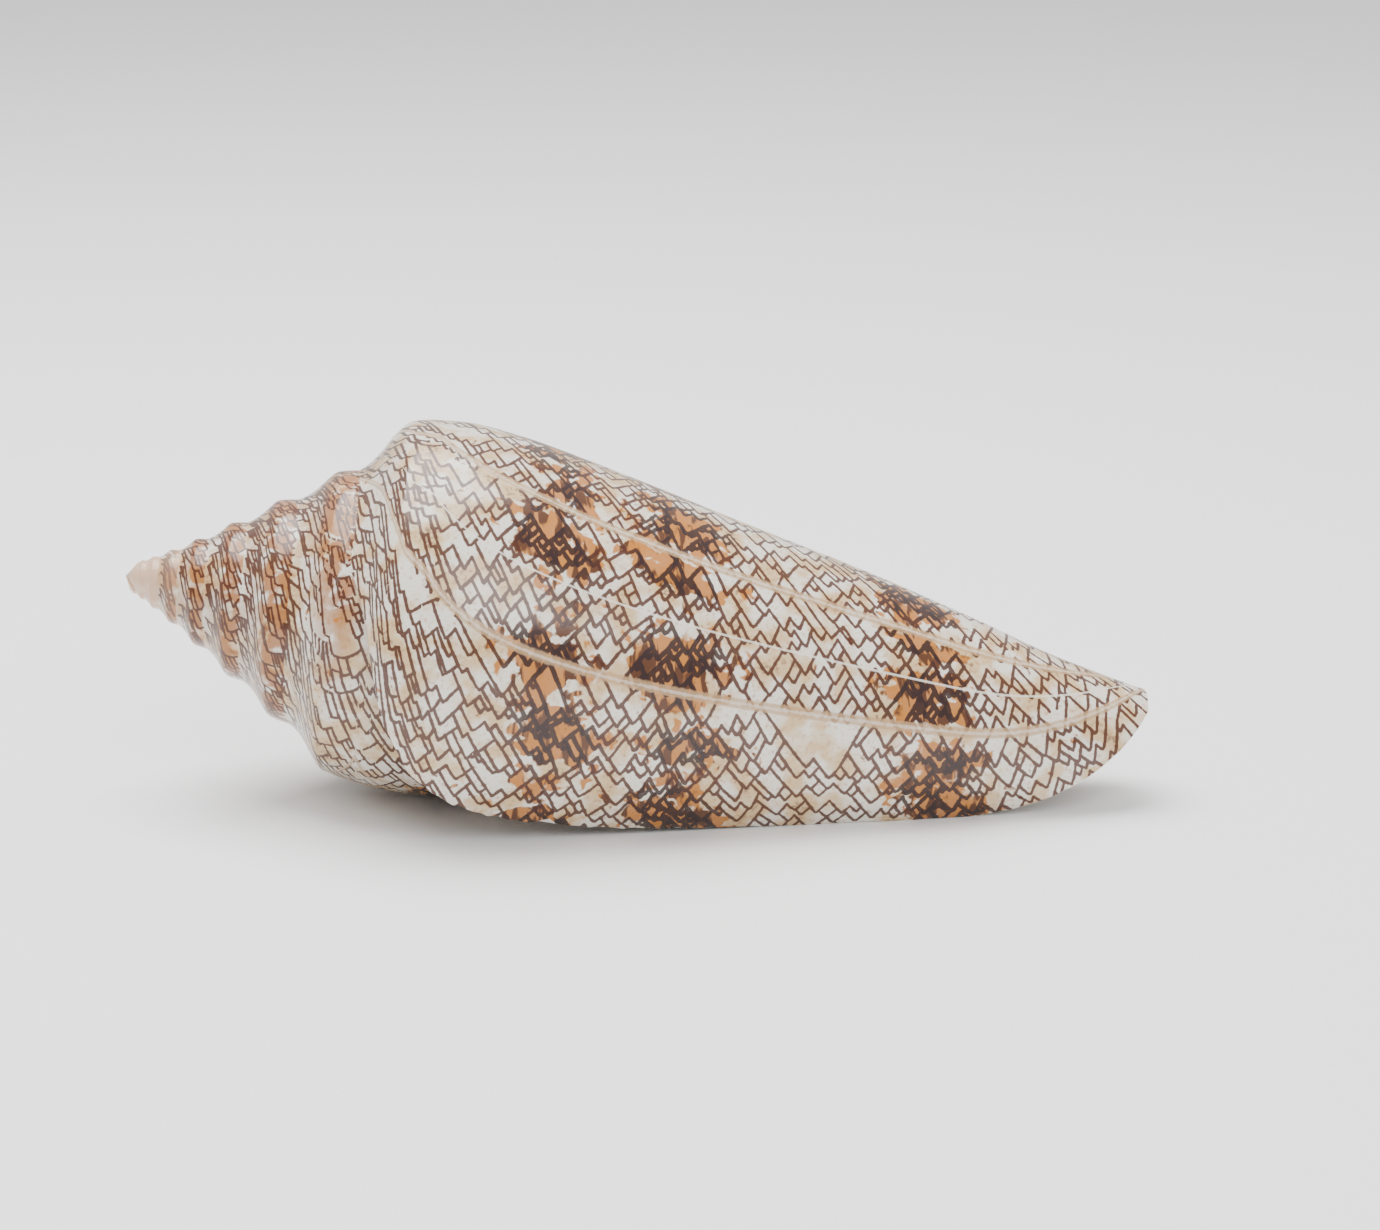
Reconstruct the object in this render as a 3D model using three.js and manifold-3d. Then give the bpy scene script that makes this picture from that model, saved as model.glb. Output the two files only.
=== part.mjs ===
// Cone shell lying on its aperture: a slender right-handed shell with a tall stepped spire, a sharp
// shoulder, a long tapering last whorl, a thin outer lip and a slit-like aperture.
//
// The shell's own frame has x along its axis, from the apex to the siphonal end. A turn of growth is a
// positive rotation about x, and growth turn 0 is the middle of the outer lip, so that earlier growth
// has negative turns. At rest +X still runs to the siphonal end, and +Z is up.

import * as THREE from 'three';
import { mergeVertices } from 'three/addons/utils/BufferGeometryUtils.js';
import Module from 'manifold-3d';

// Sizes in millimetres
const SHELL_LENGTH = 110;
const TIP_BULGE = 0.5;
const COLUMELLA_RECESS = 4;
const RIM_STATION = 28.7;
const SHOULDER_STATION = 30.6;
const APEX_BLUNTING = 1.2;
const APEX_SPAN = 4;
const RAMP_DIP = 0.5;
const LIP_EDGE = 0.8;
const WALL = 1.6;
const CAVITY_CORNER = 2.4;
const LEAST_GAP = 0.6;
const LIP_SHOULDER = 33;
const RESTING_FLAT = 0.3;

// Outline of the last whorl at the lip: distance from the apex along the axis, and radius
const OUTLINE = [
  [RIM_STATION, 21.2],
  [SHOULDER_STATION, 23.4],
  [33.5, 24.1],
  [38, 24.4],
  [43, 23.9],
  [54, 21.8],
  [71.6, 17.8],
  [86, 14.6],
  [100.3, 10.9],
  [111, 7.9],
  [125, 5.4],
  [140, 4.4],
  [160, 3.8],
];

// Growth in turns: the size of a whorl follows an exponential that slows towards the lip
const TURNS = 7.5;
const GROWTH_RATE = 0.25;
const GROWTH_SLOWING = 0.02;

// The suture of a whorl lies at a share of its rim's distance from the apex, smaller near the apex
const SUTURE_SHARE = 0.895;
const SUTURE_DRIFT = 0.018;

// Earlier whorls are slimmer at the shoulder than the last one: by what share, from which turn before
// the lip, over how many turns, and from which station of the outline it fades out, over what length
const SPIRE_SLIMMING = 0.08;
const SLIMMING_START = 0.45;
const SLIMMING_TURNS = 0.65;
const SLIMMING_STATION = 32;
const SLIMMING_FADE = 18;

// Outer lip: how far, in degrees, its edge falls back near the shoulder and near the siphonal end
const LIP_CREST = 3;
const NOTCH_NEAR = 34;
const NOTCH_NEAR_SPAN = 3;
const NOTCH_WIDE = 24;
const NOTCH_WIDE_SPAN = 16;
const NOTCH_START = 28;
const NOTCH_SLOPE = 8;
const SIPHON_FALL = 70;
const SIPHON_START = 86;
const SIPHON_SPAN = 28.4;
const SIPHON_POWER = 2.8;

// The hollow behind the aperture, in turns, shorter over the last share of the shell's length, and the
// turns over which the lip thickens to the full wall
const CAVITY_TURNS = 0.85;
const SIPHON_TURNS = 0.3;
const SIPHON_SHARE = 0.25;
const LIP_THICKENING = 0.12;

// How fast the hollow opens below its corner, in millimetres of gap to a millimetre of length
const CORNER_OPENING = 0.35;

// Rest pose in degrees
const LIP_ANGLE = 222.5;
const AXIS_TILT = 9.4;

// Mesh steps
const STEPS_PER_TURN = 48;
const BODY_ROWS = 16;
const ROW_CROWDING = 0.9;
const LIP_ROUNDS = 16;

const mix = (a, b, f) => a + (b - a) * f;
const clamp = (v) => Math.min(Math.max(v, 0), 1);
const smooth = (v) => clamp(v) ** 2 * (3 - 2 * clamp(v));

// Monotone cubic curve through [x, y] points, level beyond its ends
function monotoneCurve(points) {
  const count = points.length;
  const secants = [];
  for (let k = 0; k < count - 1; k++) {
    secants.push((points[k + 1][1] - points[k][1]) / (points[k + 1][0] - points[k][0]));
  }
  const slopes = points.map((_, k) => {
    const before = secants[Math.max(k - 1, 0)];
    const after = secants[Math.min(k, count - 2)];
    return before * after <= 0 ? 0 : (2 * before * after) / (before + after);
  });
  return (x) => {
    let k = 0;
    while (k < count - 2 && x > points[k + 1][0]) {
      k++;
    }
    const width = points[k + 1][0] - points[k][0];
    const f = clamp((x - points[k][0]) / width);
    const start = points[k][1] * (1 + 2 * f) + slopes[k] * width * f;
    const end = points[k + 1][1] * (3 - 2 * f) + slopes[k + 1] * width * (f - 1);
    return start * (1 - f) ** 2 + end * f ** 2;
  };
}

const outline = monotoneCurve(OUTLINE);

const growth = (t) => Math.exp(GROWTH_RATE * t - GROWTH_SLOWING * t * t);
const rimX = (t) => growth(t) * RIM_STATION;
const shoulderX = (t) => growth(t) * SHOULDER_STATION;
const sutureX = (t) => rimX(t) * (SUTURE_SHARE + SUTURE_DRIFT * t);

// Outer radius of the whorl at growth turn t, at distance x from the apex along the axis
function whorlRadius(x, t) {
  const scale = growth(t);
  if (x >= rimX(t)) {
    const station = x / scale;
    const upper = 1 - smooth((station - SLIMMING_STATION) / SLIMMING_FADE);
    const early = upper * smooth((-t - SLIMMING_START) / SLIMMING_TURNS);
    const blunt = APEX_BLUNTING * Math.exp(-x / APEX_SPAN);
    return outline(station) * scale * (1 - SPIRE_SLIMMING * early) + blunt;
  }
  const f = (x - sutureX(t)) / (rimX(t) - sutureX(t));
  const dip = RAMP_DIP * scale * 4 * f * (1 - f);
  return mix(whorlRadius(sutureX(t), t - 1), whorlRadius(rimX(t), t), f) - dip;
}

// Growth turn of the lip's edge at a station of the outline, and at a distance x along the axis
function lipShape(station) {
  const past = Math.max(station - NOTCH_START, 0);
  const near = NOTCH_NEAR * Math.exp(-past / NOTCH_NEAR_SPAN);
  const wide = NOTCH_WIDE * Math.exp(-past / NOTCH_WIDE_SPAN);
  const ramp = NOTCH_SLOPE * Math.max(NOTCH_START - station, 0);
  const siphon = SIPHON_FALL * Math.max((station - SIPHON_START) / SIPHON_SPAN, 0) ** SIPHON_POWER;
  return (LIP_CREST - near - wide - ramp - siphon) / 360;
}

function lipTurn(x) {
  let station = x;
  for (let round = 0; round < LIP_ROUNDS; round++) {
    station = x / growth(lipShape(station));
  }
  return lipShape(station);
}

const SUTURE_LIP = lipShape(RIM_STATION * SUTURE_SHARE);
const TIP_X = SHELL_LENGTH;
const tipX = (tau) => TIP_X - COLUMELLA_RECESS * smooth(-tau);
const CORNER_X = sutureX(SUTURE_LIP) + CAVITY_CORNER;

// Rows from the suture to the siphonal end: suture, mid ramp, rim, shoulder, next suture, then the
// body rows, which start at the inner corner of the aperture
const MID_RAMP = 1;
const RIM = 2;
const SHOULDER = 3;
const NEXT_SUTURE = 4;
const CORNER = 5;
const LAST = CORNER + BODY_ROWS;
const bodyShare = (row) => ((row - CORNER) / BODY_ROWS) ** ROW_CROWDING;

const vertices = [];
const triangles = [];

function addVertex(x, radius, t) {
  const angle = 2 * Math.PI * t + THREE.MathUtils.degToRad(LIP_ANGLE);
  vertices.push(x, radius * Math.cos(angle), radius * Math.sin(angle));
  return vertices.length / 3 - 1;
}

function addTriangle(a, b, c) {
  if (a !== b && b !== c && c !== a) {
    triangles.push(a, c, b);
  }
}

function addQuad(a, b, c, d) {
  addTriangle(a, b, c);
  addTriangle(a, c, d);
}

// One vertex of the outer sheet. Upper rows follow the spiral, lower ones stay in place along the axis,
// and at the last column every row ends on the lip's edge.
function sheetVertex(row, tau) {
  const late = clamp(1 + tau);
  if (row >= CORNER) {
    const x = mix(mix(CORNER_X, LIP_SHOULDER, late), tipX(tau), bodyShare(row));
    const t = tau + lipTurn(x);
    return addVertex(x, whorlRadius(x, t), t);
  }
  const share = row / NEXT_SUTURE;
  const lipStations = [
    RIM_STATION * SUTURE_SHARE,
    (RIM_STATION * (1 + SUTURE_SHARE)) / 2,
    RIM_STATION,
    SHOULDER_STATION,
    (SHOULDER_STATION + LIP_SHOULDER) / 2,
  ];
  const shear = tau > -1
    ? mix(share * SUTURE_LIP, lipShape(lipStations[row]), late)
    : share * SUTURE_LIP * clamp(2 + tau);
  const t = tau + shear;
  let x = sutureX(t);
  if (row === MID_RAMP) {
    x = (sutureX(t) + rimX(t)) / 2;
  } else if (row === RIM) {
    x = rimX(t);
  } else if (row === SHOULDER) {
    x = shoulderX(t);
  } else if (row === NEXT_SUTURE) {
    const below = (shoulderX(t) + mix(CORNER_X, LIP_SHOULDER, late)) / 2;
    x = tau > -1 ? mix(sutureX(SUTURE_LIP), below, late) : sutureX(t + 1);
  }
  const radius = row === 0 ? whorlRadius(x, t - 1) : whorlRadius(x, t);
  return addVertex(x, radius, t);
}

// Outer sheet: the spire as one long spiral strip, each turn sewn to the next along the suture, and the
// last whorl down to the siphonal end
const COLUMNS = TURNS * STEPS_PER_TURN;
const BODY_START = COLUMNS - STEPS_PER_TURN;
const sheet = [];
for (let column = 0; column <= COLUMNS; column++) {
  const tau = (column - COLUMNS) / STEPS_PER_TURN;
  const rows = [];
  for (let row = 0; row <= (column < BODY_START ? NEXT_SUTURE - 1 : LAST); row++) {
    rows.push(row === NEXT_SUTURE && column === BODY_START ? -1 : sheetVertex(row, tau));
  }
  sheet.push(rows);
}
for (let column = 0; column <= BODY_START; column++) {
  sheet[column][NEXT_SUTURE] = sheet[column + STEPS_PER_TURN][0];
}
for (let column = 0; column < COLUMNS; column++) {
  for (let row = 0; row < (column < BODY_START ? NEXT_SUTURE : LAST); row++) {
    const next = sheet[column + 1];
    addQuad(sheet[column][row], sheet[column][row + 1], next[row + 1], next[row]);
  }
}

// Apex: a blunt cap over the first turn
const apex = addVertex(0, 0, 0);
for (let column = 0; column < STEPS_PER_TURN; column++) {
  addTriangle(apex, sheet[column][0], sheet[column + 1][0]);
}
for (let row = 0; row < NEXT_SUTURE; row++) {
  addTriangle(apex, sheet[0][row + 1], sheet[0][row]);
}

// Hollow behind the aperture: its outer wall runs inside the last whorl, its inner wall is the whorl
// before it, and the two meet at the corner below the suture and at the hollow's far end
function cavityTurns(row) {
  const siphonal = smooth((bodyShare(row) - (1 - SIPHON_SHARE)) / SIPHON_SHARE);
  return mix(CAVITY_TURNS, SIPHON_TURNS, siphonal);
}

const CAVITY_STEPS = Math.round(CAVITY_TURNS * STEPS_PER_TURN);
const outerWall = [];
const innerWall = [];
for (let step = 0; step <= CAVITY_STEPS; step++) {
  const outerRows = [];
  const innerRows = [];
  for (let row = CORNER; row <= LAST; row++) {
    const back = (cavityTurns(row) * step) / CAVITY_STEPS;
    const corner = sutureX(SUTURE_LIP - back) + CAVITY_CORNER;
    const x = mix(corner, tipX(-back), bodyShare(row));
    const t = lipTurn(mix(CORNER_X, TIP_X, bodyShare(row))) - back;
    const columellaX = mix(corner, tipX(-1), bodyShare(row));
    const columellaTurn = lipTurn(mix(CORNER_X, tipX(-1), bodyShare(row))) - back - 1;
    const inner = whorlRadius(x, t - 1);
    const wall = mix(LIP_EDGE, WALL, smooth(back / LIP_THICKENING));
    const least = Math.min(CORNER_OPENING * (x - corner), LEAST_GAP);
    const gap = Math.max(whorlRadius(x - wall, t) - wall - inner, least);
    if (step === 0) {
      innerRows.push(sheet[BODY_START][row]);
    } else {
      innerRows.push(addVertex(columellaX, whorlRadius(columellaX, columellaTurn), columellaTurn));
    }
    outerRows.push(row === CORNER ? innerRows[0] : addVertex(x, inner + gap, t));
  }
  outerWall.push(outerRows);
  innerWall.push(innerRows);
}
for (let step = 0; step < CAVITY_STEPS; step++) {
  for (let row = 0; row < BODY_ROWS; row++) {
    const [outer, outerNext] = [outerWall[step], outerWall[step + 1]];
    const [inner, innerNext] = [innerWall[step], innerWall[step + 1]];
    addQuad(outer[row], outer[row + 1], outerNext[row + 1], outerNext[row]);
    addQuad(inner[row], innerNext[row], innerNext[row + 1], inner[row + 1]);
  }
}
for (let row = 0; row < BODY_ROWS; row++) {
  const [outer, inner] = [outerWall[CAVITY_STEPS], innerWall[CAVITY_STEPS]];
  addQuad(outer[row], outer[row + 1], inner[row + 1], inner[row]);
}

// Edge of the outer lip, from the suture to the siphonal end
const lipEdge = sheet[COLUMNS];
for (let row = 0; row < CORNER; row++) {
  addTriangle(lipEdge[row], lipEdge[row + 1], outerWall[0][0]);
}
for (let row = CORNER; row < LAST; row++) {
  const inside = outerWall[0];
  addQuad(lipEdge[row], lipEdge[row + 1], inside[row + 1 - CORNER], inside[row - CORNER]);
}

// Siphonal end: a rim round the open canal, and the end of the columella
const rim = [];
for (let column = BODY_START; column <= COLUMNS; column++) {
  rim.push(sheet[column][LAST]);
}
const canalOuter = outerWall.map((rows) => rows[BODY_ROWS]);
const canalInner = innerWall.map((rows) => rows[BODY_ROWS]);
const SIPHON_STEPS = Math.round(SIPHON_TURNS * STEPS_PER_TURN);
const tip = addVertex(tipX(-1) + TIP_BULGE, 0, 0);
for (let step = 0; step < CAVITY_STEPS; step++) {
  addTriangle(tip, canalInner[step], canalInner[step + 1]);
}
const rimStart = STEPS_PER_TURN - SIPHON_STEPS;
for (let column = 0; column < rimStart; column++) {
  addTriangle(tip, rim[column + 1], rim[column]);
}
addTriangle(tip, canalInner[CAVITY_STEPS], canalOuter[CAVITY_STEPS]);
addTriangle(tip, canalOuter[CAVITY_STEPS], rim[rimStart]);
let column = STEPS_PER_TURN;
let step = 0;
while (column > rimStart || step < CAVITY_STEPS) {
  const rimShare = (STEPS_PER_TURN - column) / SIPHON_STEPS;
  if (column > rimStart && (step === CAVITY_STEPS || rimShare <= step / CAVITY_STEPS)) {
    addTriangle(rim[column], rim[column - 1], canalOuter[step]);
    column--;
  } else {
    addTriangle(rim[column], canalOuter[step + 1], canalOuter[step]);
    step++;
  }
}

const grown = new THREE.BufferGeometry();
grown.setAttribute('position', new THREE.Float32BufferAttribute(vertices, 3));
grown.setIndex(triangles);
grown.rotateY(THREE.MathUtils.degToRad(AXIS_TILT));
grown.computeBoundingBox();

// A narrow flat on the belly and on the lip, where the shell lies on the ground
const wasm = await Module();
wasm.setup();

function toSolid(geometry) {
  const vertProperties = new Float32Array(geometry.getAttribute('position').array);
  const triVerts = new Uint32Array(geometry.getIndex().array);
  return new wasm.Manifold(new wasm.Mesh({ numProp: 3, vertProperties, triVerts }));
}

function toGeometry(solid) {
  const { vertProperties, triVerts } = solid.getMesh();
  const geometry = new THREE.BufferGeometry();
  geometry.setAttribute('position', new THREE.Float32BufferAttribute(vertProperties, 3));
  geometry.setIndex([...triVerts]);
  return geometry;
}

const GROUND_SIZE = 3 * SHELL_LENGTH;
const ground = new THREE.BoxGeometry(GROUND_SIZE, GROUND_SIZE, GROUND_SIZE);
ground.translate(0, 0, grown.boundingBox.min.z + RESTING_FLAT - GROUND_SIZE / 2);
ground.deleteAttribute('normal');
ground.deleteAttribute('uv');
const geometry = toGeometry(toSolid(grown).subtract(toSolid(mergeVertices(ground))));
geometry.computeBoundingBox();
const middle = geometry.boundingBox.getCenter(new THREE.Vector3());
geometry.translate(-middle.x, -middle.y, -geometry.boundingBox.min.z);
geometry.computeVertexNormals();

const shell = new THREE.Mesh(
  geometry,
  new THREE.MeshStandardMaterial({ color: 0xd8c2a0, roughness: 0.25, metalness: 0 }),
);
shell.name = 'shell';

const coneShell = new THREE.Group();
coneShell.add(shell);
export default coneShell;
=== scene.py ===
"""Cone shell with its tented markings, on a pale floor in soft studio light."""

import math
import random

import bpy
import numpy as np
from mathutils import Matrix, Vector
from mathutils.kdtree import KDTree


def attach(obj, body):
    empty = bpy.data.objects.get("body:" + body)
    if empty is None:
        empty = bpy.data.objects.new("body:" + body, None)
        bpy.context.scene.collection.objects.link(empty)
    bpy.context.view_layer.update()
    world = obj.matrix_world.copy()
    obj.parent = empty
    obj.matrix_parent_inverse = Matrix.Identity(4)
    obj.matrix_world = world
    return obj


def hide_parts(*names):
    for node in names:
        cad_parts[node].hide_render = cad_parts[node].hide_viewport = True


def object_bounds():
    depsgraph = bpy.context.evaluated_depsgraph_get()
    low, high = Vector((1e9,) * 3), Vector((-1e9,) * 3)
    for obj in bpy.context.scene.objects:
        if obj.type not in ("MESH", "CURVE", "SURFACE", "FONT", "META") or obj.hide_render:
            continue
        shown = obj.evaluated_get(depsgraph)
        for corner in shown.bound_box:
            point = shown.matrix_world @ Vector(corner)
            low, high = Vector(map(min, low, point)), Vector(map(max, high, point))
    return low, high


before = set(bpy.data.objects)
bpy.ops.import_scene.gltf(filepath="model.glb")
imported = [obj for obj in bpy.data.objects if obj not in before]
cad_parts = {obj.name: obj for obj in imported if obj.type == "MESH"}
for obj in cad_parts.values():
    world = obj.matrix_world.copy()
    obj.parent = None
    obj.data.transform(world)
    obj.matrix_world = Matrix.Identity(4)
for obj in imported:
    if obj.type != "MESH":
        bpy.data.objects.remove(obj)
cad_low, cad_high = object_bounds()

# Sizes of the shell in millimetres, measured along its axis from the apex
MM = 0.001
SHELL_LENGTH = 110
TIP_BULGE = 0.5
COLUMELLA_RECESS = 4
RIM_STATION = 28.7
SHOULDER_STATION = 30.6
APEX_BLUNTING = 1.2
APEX_SPAN = 4
RAMP_DIP = 0.5
LIP_EDGE = 0.6
WALL = 1.6
CAVITY_CORNER = 2.4
LEAST_GAP = 0.6
LIP_SHOULDER = 33
RESTING_FLAT = 0.3

# Outline of the last whorl at the lip: distance from the apex, and radius
OUTLINE = (
    (RIM_STATION, 21.2),
    (SHOULDER_STATION, 23.4),
    (33.5, 24.1),
    (38, 24.4),
    (43, 23.9),
    (54, 21.8),
    (71.6, 17.8),
    (86, 14.6),
    (100.3, 10.9),
    (111, 7.9),
    (125, 5.4),
    (140, 4.4),
    (160, 3.8),
)

# Growth in turns, and the suture as a share of the rim's distance from the apex
TURNS = 8
GROWTH_RATE = 0.25
GROWTH_SLOWING = 0.02
SUTURE_SHARE = 0.895
SUTURE_DRIFT = 0.018

# Earlier whorls are slimmer at the shoulder than the last one: by what share, from which turn before
# the lip, over how many turns, and from which station of the outline it fades out, over what length
SPIRE_SLIMMING = 0.08
SLIMMING_START = 0.45
SLIMMING_TURNS = 0.65
SLIMMING_STATION = 32
SLIMMING_FADE = 18

# Outer lip: how far, in degrees, its edge falls back near the shoulder and near the siphonal end
LIP_CREST = 3
NOTCH_NEAR = 34
NOTCH_NEAR_SPAN = 3
NOTCH_WIDE = 24
NOTCH_WIDE_SPAN = 16
NOTCH_START = 28
NOTCH_SLOPE = 8
SIPHON_FALL = 70
SIPHON_START = 86
SIPHON_SPAN = 28.4
SIPHON_POWER = 2.8

# Unevenness of the lip's edge and the chip in it, in turns, with the chip's place and half width
RAGGEDNESS = 0.0006
CHIP_AT = 48.5
CHIP_WIDTH = 0.75
CHIP_DEPTH = 0.008
WEAR_TURNS = 1 / 40

# The hollow behind the aperture, in turns, shorter over the last share of the shell's length, and the
# turns over which the lip thickens to the full wall
CAVITY_TURNS = 0.85
SIPHON_TURNS = 0.3
SIPHON_SHARE = 0.25
LIP_THICKENING = 0.12

# How fast the hollow opens below its corner, in millimetres of gap to a millimetre of length
CORNER_OPENING = 0.35

# Rest pose in degrees
LIP_ANGLE = 222.5
AXIS_TILT = 9.4

# Mesh steps
STEPS_PER_TURN = 264
RAMP_ROWS = 5
BEND_ROWS = 3
SIDE_ROWS = 4
LINK_ROWS = 6
BODY_ROWS = 112
ROW_CROWDING = 0.95
CAVITY_STEPS = 96
LIP_ROUNDS = 16
APEX_X = 0.1
SHARP_ANGLE = 38

# Markings: growth halts in turns before the lip, and three spiral bands as (station, half width)
HALTS = (-0.136, -0.261, -0.40, -0.56, -0.70, -0.86)
BANDS = ((48, 4.6), (62, 5.2), (90, 5.0))
SEGMENT_SLOTS = 6
SEED = 11

# Tented net, in millimetres of growth at the shell's widest: the lines' drift, stroke length, how near
# two lines meet, and how long the net stays open after a halt
DRIFT = 0.66
PACE_CHANGE = 0.03
PACE_LIMIT = 0.12
FIRST_PACE = 0.1
WIDEST_RADIUS = 24
GROWTH_STEP = 0.2
SPIRE_STEP = 1.6
STROKE = 0.7
MEETING_GAP = 0.3
OPEN_AFTER_HALT = 2.6
HALT_SURVIVAL = 0.4
LIP_LAG = 0.05

# Rest before a line may branch again, in millimetres, and branches per millimetre after that
SPIRE_BRANCHING = (0.45, 1.6)
PLAIN_BRANCHING = (0.75, 1.15)
BAND_BRANCHING = (0.4, 2.0)
OPEN_BRANCHING = (1.2, 0.6)
BAND_GAIN = 1.3

# Widest gap without a line, in millimetres, and the chance that new lines start in a wider one
SPIRE_GAP = 1.3
SHOULDER_GAP = 1.6
PLAIN_GAP = 2.6
OPEN_GAP = 3.6
START_CHANCE = 0.2

# Stations that bound the net; the profile is longer than its stations where it is steep
LAST_WHORL = -1.1
SPIRE_SIDE = 36.5
SIPHON_STATION = 150.0
SIPHON_LIP = 112.0
STEEP_ABOVE = 31.5
STEEP_STRETCH = 1.6
SIDE_STRETCH = 1.03
UNDER_SUTURE = 0.2
TINY = 1e-6

# Strokes are given to the faces within reach, an empty slot holds a stroke far away, and the net is
# rounded where strokes join, all in millimetres
REACH = 0.8
SHORTEST_STROKE = 0.01
LONGEST_STROKE = 4
FAR_AWAY = 1000.0
JOINT_ROUNDING = 0.16

# Photograph's frame and view
IMAGE_WIDTH = 1380
SHELL_PIXELS = 1031
PIXEL_MM = SHELL_LENGTH / SHELL_PIXELS
VIEW_DISTANCE = 430 * MM
VIEW_ELEVATION = 15
SENSOR = 36
FRAME_RIGHT_OF_SHELL = 53
FRAME_BELOW_SHELL = 2

# Studio, in metres
FLOOR_SIZE = 3.0
LIGHT_TARGET = (0, 0, 0.02)
TOP_LIGHT = (-0.10, 0.10, 0.55)
TOP_LIGHT_SIZE = 0.45
FRONT_LIGHT = (0.15, -0.50, 0.45)
FRONT_LIGHT_SIZE = 0.35


def mix(a, b, f):
    return a + (b - a) * f


def smooth(v):
    v = np.clip(v, 0, 1)
    return v * v * (3 - 2 * v)


def monotone_curve(points):
    """Monotone cubic through the points, level beyond its ends."""
    px, py = np.array(points, float).T
    secants = np.diff(py) / np.diff(px)
    before = np.r_[secants[0], secants]
    after = np.r_[secants, secants[-1]]
    turning = before * after <= 0
    slopes = np.where(turning, 0, 2 * before * after / np.where(turning, 1, before + after))

    def curve(x):
        k = np.clip(np.searchsorted(px, x) - 1, 0, len(px) - 2)
        width = px[k + 1] - px[k]
        f = np.clip((x - px[k]) / width, 0, 1)
        start = py[k] * (1 + 2 * f) + slopes[k] * width * f
        end = py[k + 1] * (3 - 2 * f) + slopes[k + 1] * width * (f - 1)
        return start * (1 - f) ** 2 + end * f**2

    return curve


outline = monotone_curve(OUTLINE)


def growth(t):
    return np.exp(GROWTH_RATE * t - GROWTH_SLOWING * t * t)


def rim_x(t):
    return growth(t) * RIM_STATION


def shoulder_x(t):
    return growth(t) * SHOULDER_STATION


def suture_x(t):
    return rim_x(t) * (SUTURE_SHARE + SUTURE_DRIFT * t)


def side_radius(x, t):
    """Radius of a whorl below its rim."""
    station = x / growth(t)
    upper = 1 - smooth((station - SLIMMING_STATION) / SLIMMING_FADE)
    early = smooth((-t - SLIMMING_START) / SLIMMING_TURNS) * upper
    blunt = APEX_BLUNTING * np.exp(-x / APEX_SPAN)
    return outline(station) * growth(t) * (1 - SPIRE_SLIMMING * early) + blunt


def whorl_radius(x, t):
    """Outer radius of the whorl at growth turn t, at distance x from the apex."""
    f = (x - suture_x(t)) / (rim_x(t) - suture_x(t))
    dip = RAMP_DIP * growth(t) * 4 * f * (1 - f)
    ramp = mix(side_radius(suture_x(t), t - 1), side_radius(rim_x(t), t), f) - dip
    return np.where(x >= rim_x(t), side_radius(x, t), ramp)


def lip_shape(station):
    """Growth turn of the lip's edge at a station of the outline."""
    past = np.maximum(station - NOTCH_START, 0)
    near = NOTCH_NEAR * np.exp(-past / NOTCH_NEAR_SPAN)
    wide = NOTCH_WIDE * np.exp(-past / NOTCH_WIDE_SPAN)
    ramp = NOTCH_SLOPE * np.maximum(NOTCH_START - station, 0)
    siphon = SIPHON_FALL * np.maximum((station - SIPHON_START) / SIPHON_SPAN, 0) ** SIPHON_POWER
    return (LIP_CREST - (near + wide) - ramp - siphon) / 360


def lip_turn(x):
    """Growth turn of the lip's edge at a distance x from the apex."""
    station = x
    for _ in range(LIP_ROUNDS):
        station = x / growth(lip_shape(station))
    return lip_shape(station)


SUTURE_STATION = RIM_STATION * SUTURE_SHARE
SUTURE_LIP = lip_shape(SUTURE_STATION)
CORNER_X = suture_x(SUTURE_LIP) + CAVITY_CORNER


def tip_x(tau):
    return SHELL_LENGTH - COLUMELLA_RECESS * smooth(-tau)


def to_rest(x, radius, t):
    """Points in the lying shell's frame, in millimetres, before it is set down."""
    angle = 2 * math.pi * t + math.radians(LIP_ANGLE)
    y = radius * np.cos(angle)
    z = radius * np.sin(angle)
    c, s = math.cos(math.radians(AXIS_TILT)), math.sin(math.radians(AXIS_TILT))
    return np.stack([x * c + z * s, y, z * c - x * s], axis=-1)


# Upper rows run along the spiral: 0 is the suture, 1 the rim, 2 the shoulder and 3 the next suture
UPPER = np.r_[
    np.linspace(0, 1, RAMP_ROWS + 1),
    np.linspace(1, 2, BEND_ROWS + 1)[1:],
    np.linspace(2, 3, SIDE_ROWS + 1)[1:],
]
NEXT_SUTURE = len(UPPER) - 1
CORNER = NEXT_SUTURE + LINK_ROWS + 1
BODY_SHARE = np.linspace(0, 1, BODY_ROWS + 1) ** ROW_CROWDING
COLUMNS = TURNS * STEPS_PER_TURN
BODY_START = COLUMNS - STEPS_PER_TURN


def upper_rows(tau):
    """Distance along the axis and growth turn of every upper row, at columns tau."""
    tau = tau[:, None]
    late = np.clip(1 + tau, 0, 1)
    ends = (SUTURE_STATION, RIM_STATION, SHOULDER_STATION, (SHOULDER_STATION + LIP_SHOULDER) / 2)
    lip = lip_shape(np.interp(UPPER, range(4), ends))
    share = UPPER / 3 * SUTURE_LIP
    shear = np.where(tau > -1, mix(share, lip, late), share * np.clip(2 + tau, 0, 1))
    t = tau + shear
    below = (shoulder_x(t) + mix(CORNER_X, LIP_SHOULDER, late)) / 2
    next_x = np.where(tau > -1, mix(suture_x(SUTURE_LIP), below, late), suture_x(t + 1))
    ramp = mix(suture_x(t), rim_x(t), UPPER)
    bend = mix(rim_x(t), shoulder_x(t), UPPER - 1)
    side = mix(shoulder_x(t), next_x, UPPER - 2)
    x = np.where(UPPER <= 1, ramp, np.where(UPPER <= 2, bend, side))
    return x, t


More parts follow.
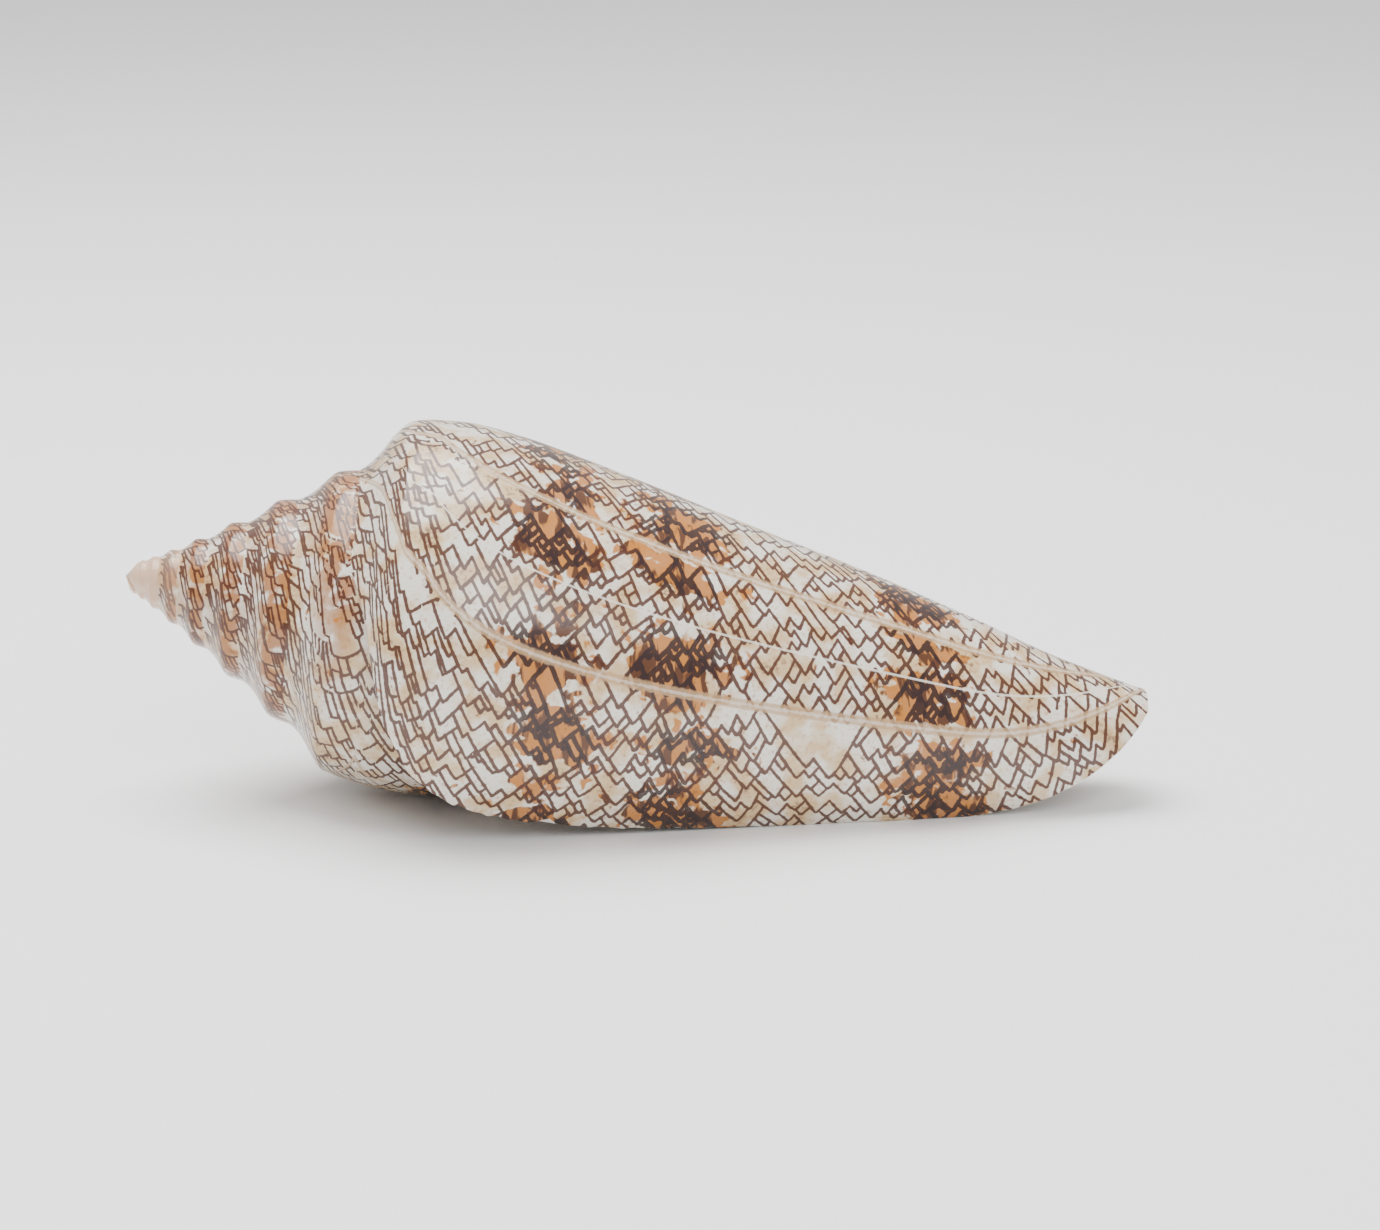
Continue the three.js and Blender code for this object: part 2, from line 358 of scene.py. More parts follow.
def lip_wear(x):
    """Small unevenness of the lip's edge, and the chip in it, in turns."""
    ragged = RAGGEDNESS * (np.sin(x * 1.7) + np.sin(x * 3.1 + 2) + np.sin(x * 5.3 + 4))
    return ragged - CHIP_DEPTH * np.exp(-(((x - CHIP_AT) / CHIP_WIDTH) ** 2))


class ShellMesh:
    """Vertices, faces and, for each face corner, growth turn, station and band strength."""

    def __init__(self):
        self.points = []
        self.count = 0
        self.faces = []
        self.labels = []

    def add_points(self, points):
        points = points.reshape(-1, 3)
        self.points.append(points)
        self.count += len(points)
        return np.arange(self.count - len(points), self.count)

    def add_face(self, corners, labels):
        """One face, given inside out, without its repeated corners."""
        kept = [k for k in range(len(corners)) if corners[k] != corners[k - 1]]
        if len(kept) > 2:
            self.faces.append([int(corners[k]) for k in reversed(kept)])
            self.labels.append([labels[k] for k in reversed(kept)])

    def add_grid(self, index, label):
        """Quads over a grid of vertex numbers; label is one (turn, station, band) per grid point."""
        for column in range(len(index) - 1):
            here, there = index[column], index[column + 1]
            mark, next_mark = label[column], label[column + 1]
            for row in range(len(here) - 1):
                self.add_face(
                    (here[row], here[row + 1], there[row + 1], there[row]),
                    (mark[row], mark[row + 1], next_mark[row + 1], next_mark[row]),
                )


INSIDE = (0.0, 0.0, -1.0)


def band_strength(turn, station):
    """How strong the spiral bands of dark blotches are, from 0 to 1."""
    total = np.zeros(np.broadcast(turn, station).shape)
    for k, (middle, half) in enumerate(BANDS):
        wave = np.sin(turn * 47 + 2.1 * k) + np.sin(turn * 83 + 1.3 + 0.9 * k)
        wave = wave + 0.7 * np.sin(turn * 131 + k)
        blotch = smooth(0.5 + 0.3 * wave)
        bell = np.exp(-(((station - middle - 1.2 * np.sin(turn * 60 + k)) / half) ** 2))
        total = np.maximum(total, bell * (0.32 + 0.68 * blotch))
    return total


def grow_shell():
    """The whole shell as one closed mesh, with its labels."""
    made = ShellMesh()
    tau = (np.arange(COLUMNS + 1) - COLUMNS) / STEPS_PER_TURN
    x, t = upper_rows(tau)
    radius = whorl_radius(x, t)
    radius[:, 0] = side_radius(x[:, 0], t[:, 0] - 1)
    edge = np.clip(1 + tau / WEAR_TURNS, 0, 1)[:, None]
    upper_points = to_rest(x, radius, t + edge * lip_wear(x))
    upper = made.add_points(upper_points[:, :NEXT_SUTURE]).reshape(COLUMNS + 1, NEXT_SUTURE)
    next_suture = np.full(COLUMNS + 1, -1)
    next_suture[: BODY_START + 1] = upper[STEPS_PER_TURN:, 0]
    next_suture[BODY_START + 1 :] = made.add_points(upper_points[BODY_START + 1 :, NEXT_SUTURE])
    upper = np.c_[upper, next_suture]
    station = x / growth(t)
    turn = t - lip_shape(station)
    upper_label = np.stack([turn, station, band_strength(turn, station) * (turn > LAST_WHORL)], axis=-1)

    body_tau = tau[BODY_START:]
    late = np.clip(1 + body_tau, 0, 1)[:, None]
    top = mix(CORNER_X, LIP_SHOULDER, late)
    body_x = mix(top, tip_x(body_tau)[:, None], BODY_SHARE)
    body_t = body_tau[:, None] + lip_turn(body_x)
    wear = edge[BODY_START:] * lip_wear(body_x)
    body_points = to_rest(body_x, whorl_radius(body_x, body_t), body_t + wear)
    body = made.add_points(body_points).reshape(STEPS_PER_TURN + 1, -1)
    body_station = body_x / growth(body_t)
    body_turn = np.repeat(body_tau[:, None], BODY_ROWS + 1, axis=1)
    body_label = np.stack([body_turn, body_station, band_strength(body_turn, body_station)], axis=-1)

    share = np.linspace(0, 1, LINK_ROWS + 2)[1:-1]
    link_x = mix(x[BODY_START:, NEXT_SUTURE:], body_x[:, :1], share)
    link_t = mix(t[BODY_START:, NEXT_SUTURE:], body_t[:, :1], share)
    wear = edge[BODY_START:] * lip_wear(link_x)
    link_points = to_rest(link_x, whorl_radius(link_x, link_t), link_t + wear)
    link = made.add_points(link_points).reshape(STEPS_PER_TURN + 1, -1)
    link_label = mix(upper_label[BODY_START:, NEXT_SUTURE:], body_label[:, :1], share[:, None])

    made.add_grid(upper[: BODY_START + 1], upper_label[: BODY_START + 1])
    whole = np.c_[upper[BODY_START:], link, body]
    made.add_grid(whole, np.concatenate([upper_label[BODY_START:], link_label, body_label], axis=1))
    close_apex(made, upper, upper_label)
    close_aperture(made, whole, body)
    return made


def close_apex(made, upper, label):
    """Blunt cap over the first turn."""
    apex = made.add_points(to_rest(np.array(APEX_X), np.array(0.0), np.array(0.0)))[0]
    for column in range(STEPS_PER_TURN):
        marks = (label[column, 0], label[column, 0], label[column + 1, 0])
        made.add_face((apex, upper[column, 0], upper[column + 1, 0]), marks)
    for row in range(NEXT_SUTURE):
        marks = (label[0, row], label[0, row + 1], label[0, row])
        made.add_face((apex, upper[0, row + 1], upper[0, row]), marks)


def close_aperture(made, whole, body):
    """The hollow behind the aperture, the lip's edge and the siphonal end."""
    length = mix(CAVITY_TURNS, SIPHON_TURNS, smooth((BODY_SHARE - (1 - SIPHON_SHARE)) / SIPHON_SHARE))
    back = np.linspace(0, 1, CAVITY_STEPS + 1)[:, None] * length
    corner = suture_x(SUTURE_LIP - back) + CAVITY_CORNER
    x = mix(corner, tip_x(-back), BODY_SHARE)
    t = lip_turn(mix(CORNER_X, SHELL_LENGTH, BODY_SHARE)) - back
    wall = mix(LIP_EDGE, WALL, smooth(back / LIP_THICKENING))
    before = whorl_radius(x, t - 1)
    least = np.minimum(CORNER_OPENING * (x - corner), LEAST_GAP)
    outer_radius = before + np.maximum(whorl_radius(x - wall, t) - wall - before, least)
    column_x = mix(corner, tip_x(np.array(-1.0)), BODY_SHARE)
    column_t = lip_turn(mix(CORNER_X, tip_x(np.array(-1.0)), BODY_SHARE)) - back - 1
    inner_points = to_rest(column_x, whorl_radius(column_x, column_t), column_t)
    inner = made.add_points(inner_points[1:]).reshape(CAVITY_STEPS, -1)
    inner = np.r_[body[:1], inner]
    worn = t + (back == 0) * lip_wear(x)
    outer = made.add_points(to_rest(x, outer_radius, worn)[:, 1:]).reshape(CAVITY_STEPS + 1, -1)
    outer = np.c_[inner[:, 0], outer]
    plain = np.broadcast_to(np.array(INSIDE), (CAVITY_STEPS + 1, BODY_ROWS + 1, 3))
    made.add_grid(outer, plain)
    made.add_grid(inner[:, ::-1], plain)
    made.add_grid(np.array([outer[-1], inner[-1]]), plain[:2])

    marks = [INSIDE] * 4
    lip = whole[-1]
    for row in range(NEXT_SUTURE + 1, CORNER):
        made.add_face((lip[0], whole[0, row + 1], whole[0, row]), marks)
    for row in range(CORNER):
        made.add_face((lip[row], lip[row + 1], outer[0, 0]), marks)
    for row in range(BODY_ROWS):
        here = (lip[CORNER + row], lip[CORNER + row + 1], outer[0, row + 1], outer[0, row])
        made.add_face(here, marks)

    tip = made.add_points(to_rest(tip_x(np.array(-1.0)) + TIP_BULGE, np.array(0.0), np.array(0.0)))[0]
    rim, canal_out, canal_in = body[:, -1], outer[:, -1], inner[:, -1]
    start = STEPS_PER_TURN - round(SIPHON_TURNS * STEPS_PER_TURN)
    for step in range(CAVITY_STEPS):
        made.add_face((tip, canal_in[step], canal_in[step + 1]), marks)
    for column in range(start):
        made.add_face((tip, rim[column + 1], rim[column]), marks)
    made.add_face((tip, canal_in[-1], canal_out[-1]), marks)
    made.add_face((tip, canal_out[-1], rim[start]), marks)
    column, step = STEPS_PER_TURN, 0
    while column > start or step < CAVITY_STEPS:
        rim_share = (STEPS_PER_TURN - column) / (STEPS_PER_TURN - start)
        if column > start and (step == CAVITY_STEPS or rim_share <= step / CAVITY_STEPS):
            made.add_face((rim[column], rim[column - 1], canal_out[step]), marks)
            column -= 1
        else:
            made.add_face((rim[column], canal_out[step + 1], canal_out[step]), marks)
            step += 1


class Front:
    """A pigment line as it grows: its station, which way it drifts, and where its last stroke began."""

    def __init__(self, station, sign, turn, pace):
        self.station = station
        self.sign = sign
        self.pace = pace
        self.start = (station, turn)
        self.run = 0.0
        self.since_branch = 0.0


def drift(sign, station, turn):
    """Sideways drift of a line per millimetre of growth, much the same for neighbouring lines."""
    broad = 0.15 * math.sin(0.19 * station + 8 * turn + 1.3 * sign)
    local = 0.10 * math.sin(0.53 * station - 23 * turn + 2.2 * sign)
    return DRIFT + broad + local


def meet(fronts, turn, scale, strokes):
    """Lines left after those that run into each other have closed a tent, or joined."""
    alive = []
    for front in sorted(fronts, key=lambda f: f.station + TINY * f.sign):
        other = alive[-1] if alive else None
        near = other is not None and (front.station - other.station) * scale < MEETING_GAP
        if near and other.sign > 0 > front.sign:
            alive.pop()
            middle = (front.station + other.station) / 2
            strokes.append((front.start, (middle, turn)))
            strokes.append((other.start, (middle, turn)))
        elif near and other.sign == front.sign and front.station - other.station > TINY:
            ends, stays = (other, front) if front.sign > 0 else (front, other)
            strokes.append((ends.start, (stays.station, turn)))
            alive[-1] = stays
        else:
            alive.append(front)
    return alive


def halt_lines(fronts, turn, rng, strokes):
    """Lines that go on after a growth halt."""
    for front in fronts:
        strokes.append((front.start, (front.station, turn)))
    kept = [front for front in fronts if rng.random() < HALT_SURVIVAL]
    for front in kept:
        front.start = (front.station, turn)
    return kept


def advance(front, turn, turn_step, rng, strokes):
    """Grow a line by one step, and give its length of growth in millimetres."""
    t = turn - LIP_LAG
    scale = float(growth(t))
    local = float(side_radius(max(front.station, RIM_STATION) * scale, t))
    travel = 2 * math.pi * local * turn_step
    stretch = STEEP_STRETCH if front.station < STEEP_ABOVE else SIDE_STRETCH
    front.pace = min(max(front.pace + rng.gauss(0, PACE_CHANGE), -PACE_LIMIT), PACE_LIMIT)
    slope = drift(front.sign, front.station, turn) + front.pace
    front.station += front.sign * slope * travel / (scale * stretch)
    front.run += travel * math.hypot(1, slope)
    front.since_branch += travel
    if front.run > STROKE:
        strokes.append((front.start, (front.station, turn)))
        front.start = (front.station, turn)
        front.run = 0.0
    return travel


def branching(turn, station, early, fresh):
    """Rest and rate of branching at a place of the net."""
    if fresh:
        return OPEN_BRANCHING
    if early:
        return SPIRE_BRANCHING
    share = min(BAND_GAIN * float(band_strength(turn, station)), 1)
    return tuple(mix(plain, band, share) for plain, band in zip(PLAIN_BRANCHING, BAND_BRANCHING))


def start_lines(fronts, turn, scale, low, high, widest, rng):
    """Pairs of new lines in gaps that have grown too wide."""
    edges = [low] + [front.station for front in fronts] + [high]
    for a, b in zip(edges, edges[1:]):
        space = min(widest, SHOULDER_GAP) if b < SPIRE_SIDE else widest
        if (b - a) * scale > space and rng.random() < START_CHANCE:
            middle = rng.uniform(mix(a, b, 0.25), mix(a, b, 0.75))
            for sign in (-1, 1):
                fronts.append(Front(middle, sign, turn, rng.uniform(-FIRST_PACE, FIRST_PACE)))


def tent_lines(rng):
    """Strokes of the tented net, as pairs of (station, growth turn): lines drift along the lip as the
    shell grows, branch, and end where two meet, which closes a pointed tent."""
    strokes = []
    fronts = []
    turn = -TURNS + 1.0
    low = SUTURE_STATION - 1.0
    last_halt = turn
    while turn < 0:
        scale = float(growth(turn - LIP_LAG))
        early = turn < LAST_WHORL
        high = SPIRE_SIDE if early else SIPHON_STATION
        turn_step = GROWTH_STEP * min(1.0, SPIRE_STEP * scale) / (2 * math.pi * WIDEST_RADIUS * scale)
        if any(turn <= halt < turn + turn_step for halt in HALTS):
            last_halt = turn
            fronts = halt_lines(fronts, turn, rng, strokes)
        since = (turn - last_halt) * 2 * math.pi * WIDEST_RADIUS * scale
        fresh = since < OPEN_AFTER_HALT and not early
        for front in list(fronts):
            travel = advance(front, turn, turn_step, rng, strokes)
            rest, rate = branching(turn, front.station, early, fresh)
            if front.since_branch > rest and rng.random() < rate * travel:
                front.since_branch = 0.0
                pace = rng.uniform(-FIRST_PACE, FIRST_PACE)
                fronts.append(Front(front.station, -front.sign, turn, pace))
        fronts = [front for front in fronts if low < front.station < high]
        fronts = meet(fronts, turn, scale, strokes)
        widest = SPIRE_GAP if early else (OPEN_GAP if fresh else PLAIN_GAP)
        start_lines(fronts, turn, scale, low, high, widest, rng)
        turn += turn_step
    for front in fronts:
        strokes.append((front.start, (front.station, 0.0)))
    return strokes


def strokes_on_surface(strokes):
    """Both ends of every visible stroke as points of the lying shell, in millimetres."""
    ends = np.array(strokes)
    station, turn = ends[..., 0], ends[..., 1]
    t = turn + lip_shape(np.minimum(station, SIPHON_LIP))
    x = station * growth(t)
    lip = lip_turn(np.minimum(x, SHELL_LENGTH))
    covered = (t + 1 < lip) & (x > suture_x(t + 1) + UNDER_SUTURE)
    points = to_rest(x, whorl_radius(x, t), t)
    return points[~covered.any(axis=1)]


def nearest_strokes(centres, outside, strokes):
    """For each outside face the strokes that cross or nearly cross it, nearest first."""
    tree = KDTree(int(outside.sum()))
    for index in np.flatnonzero(outside):
        tree.insert(centres[index], int(index))
    tree.balance()
    found = {}
    for number, (a, b) in enumerate(strokes):
        along = b - a
        length = float(np.linalg.norm(along))
        if length < SHORTEST_STROKE or length > LONGEST_STROKE:
            continue
        for co, index, _ in tree.find_range(Vector((a + b) / 2), length / 2 + REACH):
            from_a = np.array(co) - a
            f = min(max(float(from_a @ along) / length**2, 0), 1)
            away = float(np.linalg.norm(from_a - f * along))
            if away < REACH:
                found.setdefault(index, []).append((away, number))
    return found


def set_attribute(mesh, name, kind, domain, values):
    field = "vector" if kind == "FLOAT_VECTOR" else "value"
    attribute = mesh.attributes.new(name, kind, domain)
    attribute.data.foreach_set(field, np.ascontiguousarray(values, dtype=np.float32).ravel())


def set_down(points):
    """The points, in metres, in the CAD model's place, with a narrow flat on the floor."""
    middle = (points.min(axis=0) + points.max(axis=0)) / 2
    frame_middle = (np.array(cad_low) + np.array(cad_high)) / 2 / MM
    shift = frame_middle - middle
    shift[2] = -(points[:, 2].min() + RESTING_FLAT)
    placed = points + shift
    placed[:, 2] = np.maximum(placed[:, 2], 0)
    return placed * MM


def distance_from_halt(points, corner_vertex, face_of, labels, face_turn):
    """Length of growth, in millimetres, from each face corner to the halt nearest to its face."""
    halts = np.array(HALTS)
    nearest = halts[np.abs(face_turn[:, None] - halts).argmin(axis=1)]
    c, s = math.cos(math.radians(AXIS_TILT)), math.sin(math.radians(AXIS_TILT))
    axis_y = points[corner_vertex, 1]
    axis_z = points[corner_vertex, 2] * c + points[corner_vertex, 0] * s
    return (labels[:, 0] - nearest[face_of]) * 2 * math.pi * np.hypot(axis_y, axis_z)


def set_strokes(mesh, centres, outside):
    """Give each outside face its nearest strokes, both ends of each."""
    strokes = strokes_on_surface(tent_lines(random.Random(SEED)))
    found = nearest_strokes(centres, outside, strokes)
    slots = np.full((SEGMENT_SLOTS, 2, len(centres), 3), FAR_AWAY)
    slots[:, 1, :, 0] = FAR_AWAY + 1
    for index, near in found.items():
        for slot, (_, number) in enumerate(sorted(near)[:SEGMENT_SLOTS]):
            slots[slot, :, index] = strokes[number]
    for slot in range(SEGMENT_SLOTS):
        set_attribute(mesh, f"line_from_{slot}", "FLOAT_VECTOR", "FACE", slots[slot, 0])
        set_attribute(mesh, f"line_to_{slot}", "FLOAT_VECTOR", "FACE", slots[slot, 1])


def shell_object():
    """The shell's mesh object, set down on the floor in the CAD model's place."""
    made = grow_shell()
    points = np.concatenate(made.points)
    mesh = bpy.data.meshes.new("shell_surface")
    mesh.from_pydata(set_down(points).tolist(), [], made.faces)
    mesh.validate(clean_customdata=False)
    mesh.shade_smooth()
    mesh.set_sharp_from_angle(angle=math.radians(SHARP_ANGLE))

    labels = np.concatenate([np.array(face) for face in made.labels])
    corner_vertex = np.concatenate([np.array(face) for face in made.faces])
    sizes = np.array([len(face) for face in made.faces])
    face_of = np.repeat(np.arange(len(sizes)), sizes)
    face_turn = np.bincount(face_of, labels[:, 0]) / sizes
    outside = np.bincount(face_of, labels[:, 2]) / sizes >= -0.5
    sums = [np.bincount(face_of, points[corner_vertex, k]) for k in range(3)]
    from_halt = distance_from_halt(points, corner_vertex, face_of, labels, face_turn)
    set_attribute(mesh, "growth", "FLOAT_VECTOR", "CORNER", labels)
    set_attribute(mesh, "from_halt", "FLOAT", "CORNER", from_halt)
    set_attribute(mesh, "place", "FLOAT_VECTOR", "POINT", points)
    set_strokes(mesh, np.stack([total / sizes for total in sums], axis=1), outside)

    shell = bpy.data.objects.new("shell_piece", mesh)
    bpy.context.collection.objects.link(shell)
    return shell


class Nodes:
    """Short calls for building a material's nodes."""

    def __init__(self, tree):
        self.tree = tree

    def new(self, kind, **settings):
        node = self.tree.nodes.new(kind)
        for key, value in settings.items():
            setattr(node, key, value)
        return node

    def feed(self, socket, value):
        if isinstance(value, bpy.types.NodeSocket):
            self.tree.links.new(value, socket)
        else:
            socket.default_value = value

    def math(self, operation, a, b=0.0, clamp=False):
        node = self.new("ShaderNodeMath", operation=operation, use_clamp=clamp)
        self.feed(node.inputs[0], a)
        self.feed(node.inputs[1], b)
        return node.outputs[0]

    def add_scaled(self, value, factor, offset):
        """value * factor + offset."""
        node = self.new("ShaderNodeMath", operation="MULTIPLY_ADD")
        self.feed(node.inputs[0], value)
        node.inputs[1].default_value = factor
        node.inputs[2].default_value = offset
        return node.outputs[0]

    def nearer(self, a, b, rounding):
        """The smaller of two distances, rounded where they are alike."""
        node = self.new("ShaderNodeMath", operation="SMOOTH_MIN")
        self.feed(node.inputs[0], a)
        self.feed(node.inputs[1], b)
        node.inputs[2].default_value = rounding
        return node.outputs[0]

    def vector(self, operation, a, b=None, scale=None):
        node = self.new("ShaderNodeVectorMath", operation=operation)
        self.feed(node.inputs[0], a)
        if b is not None:
            self.feed(node.inputs[1], b)
        if scale is not None:
            self.feed(node.inputs["Scale"], scale)
        number = operation in ("DOT_PRODUCT", "LENGTH")
        return node.outputs["Value" if number else "Vector"]

    def ramp(self, value, low, high):
        """0 below low, 1 above high, smooth between; low may be above high."""
        node = self.new("ShaderNodeMapRange", interpolation_type="SMOOTHSTEP")
        self.feed(node.inputs["Value"], value)
        self.feed(node.inputs["From Min"], low)
        self.feed(node.inputs["From Max"], high)
        return node.outputs["Result"]

    def noise(self, place, scale, detail=2.0, distortion=0.0):
        node = self.new("ShaderNodeTexNoise")
        self.feed(node.inputs["Vector"], place)
        self.feed(node.inputs["Scale"], scale)
        self.feed(node.inputs["Detail"], detail)
        self.feed(node.inputs["Distortion"], distortion)
        return node.outputs["Fac"]

    def blend(self, factor, a, b):
        node = self.new("ShaderNodeMix", data_type="RGBA")
        self.feed(node.inputs["Factor"], factor)
        self.feed(node.inputs["A"], a if isinstance(a, bpy.types.NodeSocket) else (*a, 1))
        self.feed(node.inputs["B"], b if isinstance(b, bpy.types.NodeSocket) else (*b, 1))
        return node.outputs["Result"]

    def layer(self, under, over, mask, strength):
        """A colour laid over another where the mask is, as strong as given."""
        return self.blend(self.math("MULTIPLY", mask, strength), under, over)

    def attribute(self, name):
        return self.new("ShaderNodeAttribute", attribute_name=name)


def line_distance(nodes, place):
    """Distance, in millimetres, from the shaded point to the nearest stroke of its face."""
    nearest = None
    for slot in range(SEGMENT_SLOTS):
        start = nodes.attribute(f"line_from_{slot}").outputs["Vector"]
        end = nodes.attribute(f"line_to_{slot}").outputs["Vector"]
        offset = nodes.vector("SUBTRACT", place, start)
        along = nodes.vector("SUBTRACT", end, start)
        reach = nodes.vector("DOT_PRODUCT", along, along)
        share = nodes.math("DIVIDE", nodes.vector("DOT_PRODUCT", offset, along), reach, clamp=True)
        away = nodes.vector("SUBTRACT", offset, nodes.vector("SCALE", along, scale=share))
        distance = nodes.vector("LENGTH", away)
        nearest = distance if nearest is None else nodes.nearer(nearest, distance, JOINT_ROUNDING)
    return nearest


# Colours, linear
WHITE = (0.72, 0.68, 0.60)
CREAM = (0.58, 0.41, 0.22)
ROSY = (0.40, 0.20, 0.10)
GOLD = (0.42, 0.14, 0.008)
DARK_FILL = (0.045, 0.014, 0.008)
INK = (0.060, 0.013, 0.005)
BAND_INK = (0.020, 0.007, 0.007)
SPIRE_GOLD = (0.33, 0.115, 0.018)
APEX_PINK = (0.62, 0.42, 0.30)
SCAR = (0.42, 0.26, 0.13)
# Pale crease of the halts; the same colour also paints a thin highlight along one growth line
PALE_CREASE_AND_HIGHLIGHT = (0.75, 0.70, 0.62)
FLOOR_GREY = (0.9, 0.9, 0.9)
PORCELAIN = (0.72, 0.67, 0.61)


class Surface:
    """What the markings depend on at a shaded point."""

    def __init__(self, nodes):
        split = nodes.new("ShaderNodeSeparateXYZ")
        nodes.feed(split.inputs[0], nodes.attribute("growth").outputs["Vector"])
        self.turn, self.station, band = split.outputs
        self.place = nodes.attribute("place").outputs["Vector"]
        self.halt = nodes.math("ABSOLUTE", nodes.attribute("from_halt").outputs["Fac"])
        self.outside = nodes.ramp(band, -0.6, -0.4)
        self.band = nodes.math("MAXIMUM", band, 0.0)
        self.coarse = nodes.noise(self.place, 0.3, 2.0)
        self.medium = nodes.noise(self.place, 0.55, 2.0, 0.4)
        self.fine = nodes.noise(self.place, 2.2, 3.0)
        self.spire = nodes.ramp(self.turn, -0.95, -1.15)
        self.last_whorl = nodes.math("MULTIPLY", nodes.ramp(self.turn, -1.0, -0.95), self.outside)

    def along_growth(self, nodes, per_turn, per_station):
        """Noise place that follows the growth lines."""
        joined = nodes.new("ShaderNodeCombineXYZ")
        nodes.feed(joined.inputs[0], nodes.math("MULTIPLY", self.turn, per_turn))
        nodes.feed(joined.inputs[1], nodes.math("MULTIPLY", self.station, per_station))
        return joined.outputs[0]


def ground_colour(nodes, at):
    """Cream and white, golden on the spire, with golden and dark blotches in the bands."""
    ground = nodes.blend(nodes.ramp(at.coarse, 0.40, 0.62), WHITE, CREAM)
    ground = nodes.layer(ground, ROSY, nodes.ramp(at.fine, 0.5, 0.75), 0.6)
    side_wall = nodes.add_scaled(nodes.ramp(at.station, 28.2, 29.4), 0.6, 0.4)
    spire_wall = nodes.math("MULTIPLY", at.spire, side_wall)
    tinted = nodes.math("MULTIPLY", spire_wall, nodes.ramp(at.medium, 0.34, 0.5))
    ground = nodes.layer(ground, SPIRE_GOLD, tinted, 0.9)
    uneven = nodes.math("MULTIPLY", nodes.math("SUBTRACT", at.medium, 0.5), 1.9)
    blotch = nodes.ramp(nodes.math("ADD", at.band, uneven), 0.34, 0.48)
    ground = nodes.layer(ground, GOLD, blotch, 0.92)
    streaks = nodes.noise(at.along_growth(nodes, 30.0, 0.85), 1.0, 2.0, 0.3)
    dark = nodes.math("MULTIPLY", blotch, nodes.ramp(streaks, 0.50, 0.58))
    ground = nodes.layer(ground, DARK_FILL, dark, 0.9)
    smoky = nodes.math("MULTIPLY", nodes.ramp(at.coarse, 0.60, 0.72), nodes.ramp(at.fine, 0.45, 0.6))
    return nodes.layer(ground, INK, smoky, 0.55)


def with_net(nodes, at, ground):
    """The tented net over the ground: thicker and darker in the bands, thinner on the spire."""
    width = nodes.add_scaled(nodes.noise(at.place, 1.1, 1.0), 0.18, 0.075)
    width = nodes.math("MULTIPLY", width, nodes.add_scaled(at.band, 0.6, 1.0))
    width = nodes.math("MULTIPLY", width, nodes.add_scaled(at.spire, -0.25, 1.0))
    over = nodes.math("SUBTRACT", line_distance(nodes, at.place), width)
    ink = nodes.math("MULTIPLY", nodes.ramp(over, 0.05, -0.04), at.outside)
    ink_colour = nodes.blend(nodes.ramp(at.band, 0.15, 0.6), INK, BAND_INK)
    colour = nodes.layer(ground, ink_colour, ink, 0.95)
    return nodes.layer(colour, APEX_PINK, nodes.ramp(at.turn, -4.6, -6.0), 0.8)


def with_halts_and_highlight(nodes, at, colour):
    """Tan growth halts with a pale crease, and a painted highlight between the two on the visible side: a
    thin white line along a growth line, where light catches the shell.
    """
    uneven = nodes.math("MULTIPLY", nodes.math("SUBTRACT", at.fine, 0.5), 0.5)
    edge = nodes.math("ADD", at.halt, uneven)
    scar = nodes.math("MULTIPLY", nodes.ramp(edge, 0.65, 0.4), at.last_whorl)
    colour = nodes.layer(colour, SCAR, scar, 0.75)
    crease = nodes.math("MULTIPLY", nodes.ramp(edge, 0.22, 0.08), at.last_whorl)
    colour = nodes.layer(colour, PALE_CREASE_AND_HIGHLIGHT, crease, 0.4)
    # Painted highlight: a thin white line along the growth line at turn -0.195, standing in for light
    # caught there
    highlight_turn = nodes.math("ABSOLUTE", nodes.math("ADD", at.turn, 0.195))
    highlight_away = nodes.math("MULTIPLY", highlight_turn, nodes.add_scaled(at.station, -1.48, 209.0))
    painted_highlight = nodes.math("MULTIPLY", nodes.ramp(highlight_away, 0.16, 0.06), at.last_whorl)
    return nodes.layer(colour, PALE_CREASE_AND_HIGHLIGHT, painted_highlight, 0.7)


def relief(nodes, at):
    """Fine growth lines and the low ridge of each halt."""
    striae = nodes.noise(at.along_growth(nodes, 260.0, 0.12), 1.0, 3.0)
    ridge = nodes.math("MULTIPLY", nodes.ramp(at.halt, 0.9, 0.0), at.last_whorl)
    bump = nodes.new("ShaderNodeBump")
    bump.inputs["Strength"].default_value = 0.35
    bump.inputs["Distance"].default_value = 0.15 * MM
    nodes.feed(bump.inputs["Height"], nodes.math("ADD", nodes.math("MULTIPLY", striae, 0.25), ridge))
    return bump.outputs[0]


def shell_material():
    """Glossy shell: cream and white tents netted with brown, golden bands, growth halts."""
    material = bpy.data.materials.new("shell_porcelain")
    material.use_nodes = True
    nodes = Nodes(material.node_tree)
    shader = material.node_tree.nodes["Principled BSDF"]
    at = Surface(nodes)
    colour = with_halts_and_highlight(nodes, at, with_net(nodes, at, ground_colour(nodes, at)))
    nodes.feed(shader.inputs["Base Color"], nodes.blend(at.outside, PORCELAIN, colour))
    nodes.feed(shader.inputs["Roughness"], nodes.add_scaled(at.fine, 0.14, 0.15))
    nodes.feed(shader.inputs["Normal"], relief(nodes, at))
    shader.inputs["Specular IOR Level"].default_value = 0.35
    shader.inputs["Coat Weight"].default_value = 0.2
    shader.inputs["Coat Roughness"].default_value = 0.12
    return material


